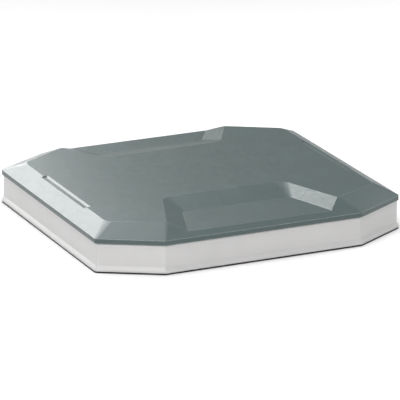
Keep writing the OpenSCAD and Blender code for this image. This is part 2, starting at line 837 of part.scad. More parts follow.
module latch_keeper() {
    color(zinc) difference() {
        block([-keeper_l / 2, keeper_y - keeper_w / 2, ledge_under - keeper_t],
              [keeper_l / 2, keeper_y + keeper_w / 2, ledge_under]);
        keeper_cones(fit);
        for (sx = [-1, 1]) translate([sx * keeper_screw_dx, keeper_y, ledge_under - keeper_t - past])
            cylinder(r = m4 + fit, h = keeper_t + 2 * past);
    }
}

module keeper_screws() {
    color(zinc) {
        keeper_cones(0);
        for (sx = [-1, 1]) translate([sx * keeper_screw_dx, keeper_y, ledge_under - keeper_t])
            cylinder(r = m4, h = keeper_t + ledge_t);
    }
}

// ---- Pull handle ----

module pull_handle() {
    bend = pull_bend_r;
    color(zinc) difference() {
        union() {
            for (s = [-1, 1]) {
                translate([s * pull_l / 2, pull_y, pull_bar_z + bend])
                    cylinder(r = pull_r, h = liner_z - pull_bar_z - bend);
                translate([s * pull_l / 2, pull_y, plate_z]) cylinder(r = pull_flange_r, h = plate_t);
                translate([s * (pull_l / 2 - bend), pull_y, pull_bar_z + bend]) rotate([-90, 0, 0])
                    rotate([0, 0, s > 0 ? 0 : 90]) rotate_extrude(angle = 90)
                        translate([bend, 0]) circle(r = pull_r);
            }
            rod_x(0, pull_y, pull_bar_z, pull_r, pull_l - 2 * bend);
        }
        holes_at(pull_screws, m5 + slip, plate_z - past, liner_z + past);
    }
}

module pull_handle_screws() { plate_screws(pull_screws); }

// ---- Side brackets ----

// An angle bracket on the base flange at +X, with a hole for its pivot
module side_bracket(y, hole_r) {
    difference() {
        union() {
            block([upright_in, y - side_bracket_l / 2, flange_top],
                  [upright_in + side_bracket_w, y + side_bracket_l / 2, flange_top + plate_t]);
            block([upright_in, y - ear_r, flange_top], [upright_in + upright_t, y + ear_r, side_pivot_z]);
            rod_x(upright_in + upright_t / 2, y, side_pivot_z, ear_r, upright_t);
        }
        rod_x(upright_in, y, side_pivot_z, hole_r, 4 * upright_t);
        for (s = [-1, 1]) translate([side_bolt_x, y + s * side_bolt_dy, flange_top - past])
            cylinder(r = m6 + slip, h = plate_t + 2 * past);
    }
}

module flange_bolt(x, y) {
    color(zinc) translate([x, y, flange_top + plate_t]) screw_down(m6, plate_t + flange_t);
}

module arm_bracket() {
    color(zinc) mirror([1, 0, 0]) side_bracket(arm_y, arm_pivot_r + slip);
}

module arm_bracket_bolts() {
    for (s = [-1, 1]) flange_bolt(-side_bolt_x, arm_y + s * side_bolt_dy);
}

arm_bolt_head = 3.5;
arm_bolt_rim = 3;       // how far the bolt's head reaches past its shank
arm_nut_h = 4;
module arm_pivot_bolt() {
    inner = arm_x - arm_t / 2 - side_gap;
    shank = upright_in + upright_t + arm_nut_h - inner;
    color(steel_dark) mirror([1, 0, 0]) {
        rod_x(inner + shank / 2, arm_y, side_pivot_z, arm_pivot_r, shank);
        rod_x(inner - arm_bolt_head / 2, arm_y, side_pivot_z, arm_pivot_r + arm_bolt_rim, arm_bolt_head);
    }
}

module arm_pivot_nut() {
    color(zinc) mirror([1, 0, 0]) translate([upright_in + upright_t, arm_y, side_pivot_z]) rotate([0, 90, 0])
        hex_nut(arm_pivot_r, arm_nut_h);
}

module hold_open_arm() {
    color(zinc) translate([-arm_x, arm_y, side_pivot_z]) difference() {
        union() {
            for (y = [0, -arm_l]) rod_x(0, y, 0, arm_w / 2, arm_t);
            translate([-arm_t / 2, -arm_l, -arm_w / 2]) cube([arm_t, arm_l, arm_w]);
        }
        rod_x(0, 0, 0, arm_pivot_r + fit, arm_t + 2 * past);
    }
}

module arm_grip() {
    grip_out = [arm_t / 2 + arm_grip_wall, arm_w / 2 + arm_grip_wall];
    grip_in = [arm_t / 2 + fit, arm_w / 2 + fit];
    color(grip_black) translate([-arm_x, arm_y - arm_grip_at * arm_l, side_pivot_z]) difference() {
        block([-grip_out.x, -arm_grip_l, -grip_out.y], [grip_out.x, 0, grip_out.y]);
        block([-grip_in.x, -arm_grip_l - past, -grip_in.y], [grip_in.x, past, grip_in.y]);
    }
}

module arm_catch() {
    gap = arm_t / 2 + catch_gap;
    color(zinc) difference() {
        translate([-arm_x, catch_y, 0]) union() {
            block([-gap - catch_wall, -catch_l / 2, plate_z],
                  [gap + catch_wall + catch_flange, catch_l / 2, liner_z]);
            for (s = [-1, 1])
                translate([s * (gap + catch_wall / 2) - catch_wall / 2, -catch_l / 2, liner_z - catch_drop])
                    cube([catch_wall, catch_l, catch_drop]);
        }
        holes_at(catch_screws, m5 + slip, plate_z - past, liner_z + past);
    }
}

module arm_catch_screws() { plate_screws(catch_screws); }

// ---- Gas strut ----

module strut_bracket() {
    color(zinc) side_bracket(strut_low.x, eye_pin_r + fit);
}

module strut_bracket_bolts() {
    for (s = [-1, 1]) flange_bolt(side_bolt_x, strut_low.x + s * side_bolt_dy);
}

module strut_pivot_pin() {
    inner = strut_x - eye_w / 2 - side_gap;
    outer = upright_in + upright_t;
    color(steel_dark) {
        rod_x((inner + outer) / 2, strut_low.x, strut_low.y, eye_pin_r, outer - inner);
        for (x = [inner - pin_head_l / 2, outer + pin_head_l / 2])
            rod_x(x, strut_low.x, strut_low.y, eye_pin_r + eye_pin_rim, pin_head_l);
    }
}

// Places children with +Z along the strut, from its lower pivot
module along_strut() {
    translate([strut_x, strut_low.x, strut_low.y]) rotate([strut_angle - 90, 0, 0]) children();
}

// An eye round a pin along X, with a shank of length l towards +Z
module eye(l, hole) {
    shank_z = (hole + eye_r) / 2;
    difference() {
        union() {
            rod_x(0, 0, 0, eye_r, eye_w);
            translate([0, 0, shank_z]) cylinder(r = eye_shank_r, h = l - shank_z);
        }
        rod_x(0, 0, 0, hole, eye_w + 2 * past);
    }
}

module strut_lower_eye() {
    color(steel_dark) along_strut() eye(tube_start, eye_pin_r + fit);
}

module strut_tube() {
    color(steel_dark) along_strut() translate([0, 0, tube_start]) difference() {
        cylinder(r = tube_r, h = tube_l);
        translate([0, 0, tube_floor]) cylinder(r = tube_r - tube_wall, h = tube_l);
    }
}

module strut_gland() {
    color(rubber_black) along_strut() translate([0, 0, tube_start + tube_l - gland_l]) difference() {
        cylinder(r = tube_r - tube_wall, h = gland_l);
        translate([0, 0, -past]) cylinder(r = rod_r + fit, h = gland_l + 2 * past);
    }
}

rod_start = tube_start + tube_l - rod_inside;
module strut_rod() {
    color(zinc) along_strut() translate([0, 0, rod_start])
        cylinder(r = rod_r, h = strut_len - rod_tail - rod_start);
}

module strut_piston() {
    color(steel_dark) along_strut() translate([0, 0, rod_start + piston_tail]) difference() {
        cylinder(r = tube_r - tube_wall - 2 * fit, h = piston_l);
        translate([0, 0, -past]) cylinder(r = rod_r, h = piston_l + 2 * past);
    }
}

module strut_upper_eye() {
    color(steel_dark) along_strut() translate([0, 0, strut_len]) mirror([0, 0, 1])
        eye(rod_tail, eye_pin_r + slip);
}

// The stud stops just short of the eye, because this pivot is the one left open
module strut_lid_bracket() {
    y = strut_top.x;
    stud_l = eye_gap - rest_gap;
    color(zinc) difference() {
        union() {
            block([upright_in, y - lid_bracket_l / 2, plate_z],
                  [upright_in + lid_bracket_w, y + lid_bracket_l / 2, liner_z]);
            block([upright_in, y - lid_ear_r, strut_top.y],
                  [upright_in + upright_t, y + lid_ear_r, liner_z]);
            rod_x(upright_in + upright_t / 2, y, strut_top.y, lid_ear_r, upright_t);
            rod_x(upright_in - stud_l / 2, y, strut_top.y, eye_pin_r, stud_l);
        }
        holes_at(strut_screws, m5 + slip, plate_z - past, liner_z + past);
    }
}

module strut_lid_screws() { plate_screws(strut_screws); }

curb_frame();
base_gasket();
frame_seal();
rest_pads();
hinge_frame_leaves();
hinge_pins();
hinge_bolts();
hinge_nuts();
latch_keeper();
keeper_screws();
arm_bracket();
arm_bracket_bolts();
arm_pivot_bolt();
arm_pivot_nut();
strut_bracket();
strut_bracket_bolts();
strut_pivot_pin();
lid_shell();
lid_core();
lid_stiffeners();
lid_liner();
liner_screws();
hinge_lid_leaves();
hinge_lid_screws();
latch_case();
latch_case_screws();
pull_handle();
pull_handle_screws();
arm_catch();
arm_catch_screws();
strut_lid_bracket();
strut_lid_screws();
latch_spindle();
latch_tongue();
latch_lever();
latch_grip();
latch_nut();
hold_open_arm();
arm_grip();
strut_lower_eye();
strut_tube();
strut_gland();
strut_rod();
strut_piston();
strut_upper_eye();
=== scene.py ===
"""Looks for a raised-curb access cover: a moulded eight-sided lid on a coated curb frame.

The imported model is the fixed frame. The lid's shell, the curb's frame and its bulb seal are
modelled again here with rounded edges, and every other part keeps its shape and gets a finish.
Lengths are in metres. +X runs along the long front edge, -Y faces the front and +Z is up.
"""

import json
import logging
import math
from collections.abc import Callable, Iterator
from contextlib import contextmanager
from dataclasses import dataclass, field
from enum import Enum

import bpy
import bmesh
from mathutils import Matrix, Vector


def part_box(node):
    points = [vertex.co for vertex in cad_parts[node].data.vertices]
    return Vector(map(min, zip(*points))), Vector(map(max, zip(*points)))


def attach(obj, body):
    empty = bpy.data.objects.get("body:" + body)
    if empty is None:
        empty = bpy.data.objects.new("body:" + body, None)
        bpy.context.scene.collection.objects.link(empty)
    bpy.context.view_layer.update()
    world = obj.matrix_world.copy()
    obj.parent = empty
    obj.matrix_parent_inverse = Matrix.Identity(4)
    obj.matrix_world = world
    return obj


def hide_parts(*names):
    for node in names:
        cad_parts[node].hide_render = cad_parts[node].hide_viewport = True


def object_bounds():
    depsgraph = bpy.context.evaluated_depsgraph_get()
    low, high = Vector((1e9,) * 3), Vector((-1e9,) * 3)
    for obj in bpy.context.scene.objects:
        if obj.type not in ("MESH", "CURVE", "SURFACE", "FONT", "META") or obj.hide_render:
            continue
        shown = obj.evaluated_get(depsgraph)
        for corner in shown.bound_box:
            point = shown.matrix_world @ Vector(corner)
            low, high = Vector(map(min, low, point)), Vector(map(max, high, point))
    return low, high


logging.basicConfig(level=logging.INFO, format="%(message)s")
LOG = logging.getLogger("cover")

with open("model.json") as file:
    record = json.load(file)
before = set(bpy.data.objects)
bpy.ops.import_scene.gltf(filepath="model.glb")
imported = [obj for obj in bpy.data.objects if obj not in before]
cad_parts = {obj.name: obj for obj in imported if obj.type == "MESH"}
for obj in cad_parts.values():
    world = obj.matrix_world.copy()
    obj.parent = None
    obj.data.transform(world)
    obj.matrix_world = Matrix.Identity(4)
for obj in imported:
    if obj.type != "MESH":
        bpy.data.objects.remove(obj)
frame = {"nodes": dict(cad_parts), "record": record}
CAD_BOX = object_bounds()

MM = 0.001
Corner = tuple[float, float]


# ---- Modelling by hand ----


def deselect_all() -> None:
    """Clears the selection, so that an operator acts only on what is picked next."""
    bpy.ops.object.select_all(action="DESELECT")


def pick(*pieces: bpy.types.Object) -> None:
    """Selects these pieces alone, with the first one active."""
    deselect_all()
    for piece in pieces:
        piece.select_set(True)
    bpy.context.view_layer.objects.active = pieces[0]


@contextmanager
def edit_mode(piece: bpy.types.Object) -> Iterator[None]:
    """Edit mode on one piece, left again at the end.

    Args:
        piece: The mesh to edit.
    """
    pick(piece)
    bpy.ops.object.mode_set(mode="EDIT")
    try:
        yield
    finally:
        bpy.ops.object.mode_set(mode="OBJECT")


def select_points(piece: bpy.types.Object, wanted: Callable[[int, Vector], bool]) -> None:
    """In edit mode, selects the points for which wanted(index, place) is true.

    Args:
        piece: The mesh in edit mode.
        wanted: The test for one point.
    """
    mesh = bmesh.from_edit_mesh(piece.data)
    for point in mesh.verts:
        point.select = wanted(point.index, point.co)
    mesh.select_flush_mode()
    bmesh.update_edit_mesh(piece.data)


def apply_modifier(piece: bpy.types.Object, kind: str, **settings: object) -> None:
    """Adds a modifier with these settings and applies it.

    Args:
        piece: The mesh that it works on.
        kind: Blender's name of the modifier's type.
        settings: The modifier's values.
    """
    pick(piece)
    modifier = piece.modifiers.new(kind.lower(), kind)
    for name, value in settings.items():
        setattr(modifier, name, value)
    bpy.ops.object.modifier_apply(modifier=modifier.name)


def cut(piece: bpy.types.Object, tool: bpy.types.Object) -> None:
    """Cuts a tool's shape out of a piece and throws the tool away."""
    apply_modifier(piece, "BOOLEAN", operation="DIFFERENCE", solver="EXACT", object=tool)
    bpy.data.objects.remove(tool)


def round_edges(piece: bpy.types.Object, width: float, sharper_than: float, steps: int = 3) -> None:
    """Rounds the edges that turn by more than an angle, and shades the piece smoothly.

    Args:
        piece: The mesh to round.
        width: How far the rounding reaches on each side of an edge.
        sharper_than: The angle in degrees.
        steps: The number of faces across the rounding.
    """
    apply_modifier(
        piece, "BEVEL", width=width, segments=steps, limit_method="ANGLE",
        angle_limit=math.radians(sharper_than), use_clamp_overlap=True, miter_outer="MITER_ARC",
    )
    pick(piece)
    bpy.ops.object.shade_smooth()
    apply_modifier(piece, "WEIGHTED_NORMAL", mode="FACE_AREA", weight=100, keep_sharp=False)


class Ends(Enum):
    """What a bridged surface does at its two ends."""

    CAPPED = "capped"
    MEET = "meet"


def outline(corners: list[Corner], z: float, radii: list[float], steps: int) -> bpy.types.Object:
    """A flat outline with rounded corners: a disc whose points are moved to the corners.

    Args:
        corners: The corners in order round the outline.
        z: The outline's height.
        radii: The radius at each corner.
        steps: The number of edges round each corner.

    Returns:
        The outline, filled by one face.
    """
    deselect_all()
    bpy.ops.mesh.primitive_circle_add(vertices=len(corners), radius=1.0, fill_type="NGON")
    piece = bpy.context.object
    with edit_mode(piece):
        mesh = bmesh.from_edit_mesh(piece.data)
        turns_left = mesh.faces[:][0].normal.z > 0
        starts = [loop.vert.index for loop in mesh.faces[:][0].loops]
        places = {i: Vector(v.co) for i, v in enumerate(mesh.verts)}
        order = starts if turns_left else starts[::-1]
        for index, corner in zip(order, corners):
            select_points(piece, lambda i, _: i == index)
            bpy.ops.transform.translate(value=Vector((*corner, z)) - places[index])
        for i, corner in enumerate(corners):
            here = Vector(corner)
            before = (Vector(corners[i - 1]) - here).normalized()
            after = (Vector(corners[(i + 1) % len(corners)]) - here).normalized()
            inside = before.angle(after)
            select_points(piece, lambda _, co: (co.xy - here).length < 1e-6)
            bpy.ops.mesh.bevel(
                offset=radii[i] / math.tan(inside / 2), segments=steps, affect="VERTICES",
                clamp_overlap=False,
            )
    return piece


def bridge(outlines: list[bpy.types.Object], name: str, ends: Ends) -> bpy.types.Object:
    """Joins outlines with the same number of points into one surface.

    Args:
        outlines: The outlines in order along the surface.
        name: The name of the finished piece.
        ends: What happens at the first and last outline.

    Returns:
        The piece, with its faces pointing outwards.
    """
    count = len(outlines[0].data.vertices)
    last = len(outlines) - 1
    piece = outlines[0]
    for ring in outlines[1:]:
        pick(piece, ring)
        bpy.ops.object.join()
    piece.name = name
    with edit_mode(piece):
        bpy.ops.mesh.select_all(action="SELECT")
        bpy.ops.mesh.delete(type="ONLY_FACE")
        pairs = [(k, k + 1) for k in range(last)] + ([(last, 0)] if ends is Ends.MEET else [])
        for low, high in pairs:
            select_points(piece, lambda i, _: i // count in (low, high))
            bpy.ops.mesh.bridge_edge_loops()
        if ends is Ends.CAPPED:
            for end in (0, last):
                select_points(piece, lambda i, _: i // count == end)
                bpy.ops.mesh.edge_face_add()
        bpy.ops.mesh.select_all(action="SELECT")
        bpy.ops.mesh.normals_make_consistent(inside=False)
    return piece


# ---- Finishes ----


class Grain(Enum):
    """The direction of a finish's fine texture."""

    EVEN = (1.0, 1.0, 1.0)
    BRUSHED_X = (0.06, 1.0, 1.0)
    END_WOOD = (1.0, 1.0, 0.15)


@dataclass(frozen=True)
class Finish:
    """A surface with its own grain, patches of shine, marks and tinted edges.

    Colours are linear. patchy is how far the colour drifts over a hand's width, grain_size is
    the size of the fine texture and grain_depth its height. The edge colour and its amount say what
    is laid on the edges and how strongly, edge is their width, and turn is how far the surface has
    to bend for none of it and for all of it, as cosines. On most finishes the edge colour stands
    for rubbed coating. On the lid moulding it is a painted highlight along the edges and recess
    rims, with some rubbing.
    """

    base: tuple[float, float, float]
    roughness: float
    metallic: float = 0.0
    patchy: float = 0.06
    shine_drift: float = 0.06
    grain: Grain = Grain.EVEN
    grain_size: float = 1.2 * MM
    grain_depth: float = 0.02 * MM
    speckle: float = 0.05
    edge_colour: tuple[float, float, float] = (0.5, 0.5, 0.5)
    edge_amount: float = 0.3
    edge: float = 0.8 * MM
    turn: tuple[float, float] = (0.995, 0.85)
    coat: float = 0.0

    def build(self, name: str) -> bpy.types.Material:
        """Makes the material's nodes.

        Args:
            name: The material's name.

        Returns:
            The finished material.
        """
        material = bpy.data.materials.new(name)
        material.use_nodes = True
        tree = material.node_tree
        shader = tree.nodes["Principled BSDF"]
        shader.inputs["Metallic"].default_value = self.metallic
        shader.inputs["Coat Weight"].default_value = self.coat
        place = tree.nodes.new("ShaderNodeTexCoord").outputs["Object"]
        stretch = self._mapping(tree, place, self.grain.value)

        patches = self._noise(tree, place, 1 / (70 * MM), 4)
        fine = self._noise(tree, stretch, 1 / self.grain_size, 3)
        marks = self._noise(tree, place, 1 / (9 * MM), 5)

        drift = self._range(tree, patches, 0.3, 0.7, 1 - self.patchy, 1 + self.patchy)
        dots = self._range(tree, fine, 0.3, 0.7, 1 - self.speckle, 1 + self.speckle)
        tone = self._maths(tree, "MULTIPLY", drift, dots)
        colour = self._scale_colour(tree, tone)
        # Edge colour laid where the surface turns: rubbed coating, and on the lid moulding a
        # painted highlight along the edges.
        edge_tint_share = self._edge_share(tree, marks)
        mixed = tree.nodes.new("ShaderNodeMix")
        mixed.data_type = "RGBA"
        tree.links.new(edge_tint_share, mixed.inputs["Factor"])
        tree.links.new(colour, mixed.inputs["A"])
        mixed.inputs["B"].default_value = (*self.edge_colour, 1.0)
        tree.links.new(mixed.outputs["Result"], shader.inputs["Base Color"])

        low, high = self.roughness - self.shine_drift, self.roughness + self.shine_drift
        shine = self._range(tree, marks, 0.3, 0.7, low, high)
        tree.links.new(shine, shader.inputs["Roughness"])

        bump = tree.nodes.new("ShaderNodeBump")
        bump.inputs["Distance"].default_value = self.grain_depth
        bump.inputs["Strength"].default_value = 1.0
        tree.links.new(fine, bump.inputs["Height"])
        tree.links.new(bump.outputs["Normal"], shader.inputs["Normal"])
        return material

    @staticmethod
    def _mapping(
        tree: bpy.types.NodeTree, place: bpy.types.NodeSocket, scale: tuple[float, float, float]
    ) -> bpy.types.NodeSocket:
        """Stretches the coordinates that a texture reads."""
        node = tree.nodes.new("ShaderNodeMapping")
        node.inputs["Scale"].default_value = scale
        tree.links.new(place, node.inputs["Vector"])
        return node.outputs["Vector"]

    @staticmethod
    def _noise(
        tree: bpy.types.NodeTree, place: bpy.types.NodeSocket, scale: float, detail: float
    ) -> bpy.types.NodeSocket:
        """A noise texture's value."""
        node = tree.nodes.new("ShaderNodeTexNoise")
        node.inputs["Scale"].default_value = scale
        node.inputs["Detail"].default_value = detail
        tree.links.new(place, node.inputs["Vector"])
        return node.outputs["Fac"]

    @staticmethod
    def _range(
        tree: bpy.types.NodeTree, value: bpy.types.NodeSocket, from_low: float, from_high: float,
        to_low: float, to_high: float,
    ) -> bpy.types.NodeSocket:
        """Maps a value from one range to another."""
        node = tree.nodes.new("ShaderNodeMapRange")
        tree.links.new(value, node.inputs["Value"])
        for socket, number in zip(
            ("From Min", "From Max", "To Min", "To Max"), (from_low, from_high, to_low, to_high)
        ):
            node.inputs[socket].default_value = number
        return node.outputs["Result"]

    @staticmethod
    def _maths(
        tree: bpy.types.NodeTree, operation: str, first: bpy.types.NodeSocket,
        second: bpy.types.NodeSocket | float,
    ) -> bpy.types.NodeSocket:
        """One Math node on a value and a second value or number."""
        node = tree.nodes.new("ShaderNodeMath")
        node.operation = operation
        tree.links.new(first, node.inputs[0])
        if isinstance(second, float):
            node.inputs[1].default_value = second
        else:
            tree.links.new(second, node.inputs[1])
        return node.outputs["Value"]

    def _scale_colour(
        self, tree: bpy.types.NodeTree, tone: bpy.types.NodeSocket
    ) -> bpy.types.NodeSocket:
        """The base colour times a tone."""
        node = tree.nodes.new("ShaderNodeVectorMath")
        node.operation = "SCALE"
        node.inputs[0].default_value = self.base
        tree.links.new(tone, node.inputs["Scale"])
        return node.outputs["Vector"]

    def _edge_share(
        self, tree: bpy.types.NodeTree, marks: bpy.types.NodeSocket
    ) -> bpy.types.NodeSocket:
        """How much of the edge colour shows: more on edges, and broken up by the marks. On the lid
        moulding this paints a highlight along the edges.
        """
        soft = tree.nodes.new("ShaderNodeBevel")
        soft.samples = 4
        soft.inputs["Radius"].default_value = self.edge
        true = tree.nodes.new("ShaderNodeNewGeometry")
        dot = tree.nodes.new("ShaderNodeVectorMath")
        dot.operation = "DOT_PRODUCT"
        tree.links.new(soft.outputs["Normal"], dot.inputs[0])
        tree.links.new(true.outputs["Normal"], dot.inputs[1])
        turned = self._range(tree, dot.outputs["Value"], *self.turn, 0.0, 1.0)
        broken = self._range(tree, marks, 0.4, 0.6, 0.4 * self.edge_amount, self.edge_amount)
        return self._maths(tree, "MULTIPLY", turned, broken)


FINISHES = {
    "curb_paint": Finish(
        base=(0.595, 0.588, 0.585), roughness=0.38, patchy=0.02, grain_size=0.9 * MM,
        grain_depth=0.012 * MM, speckle=0.02, edge_colour=(0.78, 0.77, 0.76), edge_amount=0.35,
    ),
    # Light, wide, sharply triggered edge colour: a painted highlight along the lid's edges and
    # recess rims, with some rubbing.
    "lid_moulding": Finish(
        base=(0.068, 0.099, 0.097), roughness=0.35, patchy=0.05, grain_size=1.6 * MM,
        grain_depth=0.03 * MM, speckle=0.10, edge_colour=(0.34, 0.39, 0.39), edge_amount=0.8, edge=2.2 * MM,
        turn=(0.999, 0.965),
    ),
    "black_rubber": Finish(
        base=(0.022, 0.022, 0.023), roughness=0.75, patchy=0.2, grain_size=0.5 * MM,
        grain_depth=0.06 * MM, speckle=0.2, edge_colour=(0.09, 0.09, 0.09), edge_amount=0.5,
    ),
    "zinc_plate": Finish(
        base=(0.56, 0.57, 0.58), roughness=0.34, metallic=1.0, patchy=0.12, shine_drift=0.12,
        grain_size=2.5 * MM, grain_depth=0.01 * MM, speckle=0.12, edge_colour=(0.8, 0.8, 0.8), edge_amount=0.6,
    ),
    "bare_aluminium": Finish(
        base=(0.66, 0.67, 0.68), roughness=0.5, metallic=1.0, patchy=0.08, grain_size=0.4 * MM,
        grain_depth=0.05 * MM, speckle=0.1, edge_colour=(0.85, 0.85, 0.86), edge_amount=0.6,
    ),
    "stainless": Finish(
        base=(0.58, 0.57, 0.56), roughness=0.28, metallic=1.0, grain=Grain.BRUSHED_X,
        grain_size=0.25 * MM, grain_depth=0.01 * MM, speckle=0.15, edge_colour=(0.8, 0.8, 0.8), edge_amount=0.4,
    ),
    "black_steel": Finish(
        base=(0.025, 0.025, 0.028), roughness=0.36, patchy=0.15, grain_size=0.8 * MM,
        grain_depth=0.02 * MM, speckle=0.15, edge_colour=(0.35, 0.34, 0.33), edge_amount=0.7, coat=0.3,
    ),
    "hard_chrome": Finish(
        base=(0.78, 0.79, 0.80), roughness=0.12, metallic=1.0, patchy=0.02, shine_drift=0.04,
        grain=Grain.BRUSHED_X, grain_size=0.3 * MM, grain_depth=0.002 * MM, speckle=0.04,
        edge_colour=(0.9, 0.9, 0.9), edge_amount=0.2,
    ),
    "liner_sheet": Finish(
        base=(0.62, 0.63, 0.62), roughness=0.5, patchy=0.03, grain_size=1.5 * MM,
        grain_depth=0.04 * MM, speckle=0.05, edge_colour=(0.75, 0.75, 0.74), edge_amount=0.3,
    ),
    "core_board": Finish(
        base=(0.46, 0.32, 0.18), roughness=0.8, patchy=0.2, grain=Grain.END_WOOD,
        grain_size=2.0 * MM, grain_depth=0.1 * MM, speckle=0.3, edge_colour=(0.6, 0.45, 0.3), edge_amount=0.3,
    ),
    "grip_vinyl": Finish(
        base=(0.02, 0.02, 0.024), roughness=0.45, patchy=0.1, grain_size=0.7 * MM,
        grain_depth=0.05 * MM, speckle=0.15, edge_colour=(0.08, 0.08, 0.09), edge_amount=0.4,
    ),
}


class PaintShop:
    """Builds each finish once and dresses pieces and CAD parts with it."""

    def __init__(self) -> None:
        """Builds the finishes of the record's slots."""
        self.materials = {slot: finish.build(slot) for slot, finish in FINISHES.items()}

    def dress(self, piece: bpy.types.Object, slot: str) -> None:
        """Gives a piece one finish all over.

        Args:
            piece: The piece or CAD part.
            slot: The record's slot that names the finish.
        """
        piece.data.materials.clear()
        piece.data.materials.append(self.materials[slot])

    def dress_parts(self) -> None:
        """Gives every CAD part the finish of its slot."""
        for part in frame["record"]["subparts"]:
            self.dress(frame["nodes"][part["node"]], part["material_slot"])

    def finish_piece(
        self, piece: bpy.types.Object, slot: str, body: str, replaced: tuple[str, ...] = ()
    ) -> None:
        """Dresses a new piece, puts it on its body and hides the CAD parts it stands for.

        Args:
            piece: The finished piece.
            slot: The record's slot.
            body: The body it moves with.
            replaced: The CAD parts it stands for.
        """
        self.dress(piece, slot)
        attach(piece, body)
        if replaced:
            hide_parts(*replaced)
        LOG.info("%s: %d faces on %s", piece.name, len(piece.data.polygons), body)


# ---- Plan ----


@dataclass
class Plan:
    """The eight-sided plan that the lid and the curb share."""

    half_l: float
    half_w: float
    cut_x: float = 136 * MM
    cut_y: float = 79 * MM
    corner_r: float = 10 * MM
    least_r: float = 2 * MM
    steps: int = 9
    spread: float = 50 * MM

    def corners(self, inset: float) -> list[Corner]:
        """The corners of the plan moved in all round, anticlockwise from the right side.

        Args:
            inset: How far in from the lid's rim.
        """
        across = Vector((self.cut_y, self.cut_x)).normalized()
        reach = across.x * self.half_l + across.y * (self.half_w - self.cut_y) - inset
        x, y = self.half_l - inset, self.half_w - inset
        side = (reach - across.x * x) / across.y
        end = (reach - across.y * y) / across.x
        return [
            (x, -side), (x, side), (end, y), (-end, y),
            (-x, side), (-x, -side), (-end, -y), (end, -y),
        ]

    def ring(self, inset: float, z: float) -> bpy.types.Object:
        """An outline of the plan at an inset and a height.

        Args:
            inset: How far in from the lid's rim.
            z: The outline's height.
        """
        corners = self.corners(inset)
        radius = max(self.corner_r - inset, self.least_r)
        return outline(corners, z, [radius] * len(corners), self.steps)

    def band(self, name: str, profile: list[tuple[float, float]]) -> bpy.types.Object:
        """A closed profile of (inset, height) points carried round the plan.

        The rings are bridged while they stand clear of each other, then moved to their heights.

        Args:
            name: The name of the finished piece.
            profile: The profile's corners in order.
        """
        rings = [self.ring(inset, k * self.spread) for k, (inset, _) in enumerate(profile)]
        count = len(rings[0].data.vertices)
        piece = bridge(rings, name, Ends.MEET)
        with edit_mode(piece):
            for k, (_, z) in enumerate(profile):
                select_points(piece, lambda i, _: i // count == k)
                bpy.ops.transform.translate(value=(0.0, 0.0, z - k * self.spread))
            bpy.ops.mesh.select_all(action="SELECT")
            bpy.ops.mesh.normals_make_consistent(inside=False)
        return piece


# ---- Lid ----


@dataclass
class Recess:
    """A hand recess that opens on the lid's front or back."""

    side: int
    bevel: float
    reach: float
    ramp: float = 73 * MM
    in_top: float = 152 * MM
    in_floor: float = 135 * MM
    out_floor: float = 178 * MM
    mouth_r: float = 34 * MM
    floor_r: float = 14 * MM


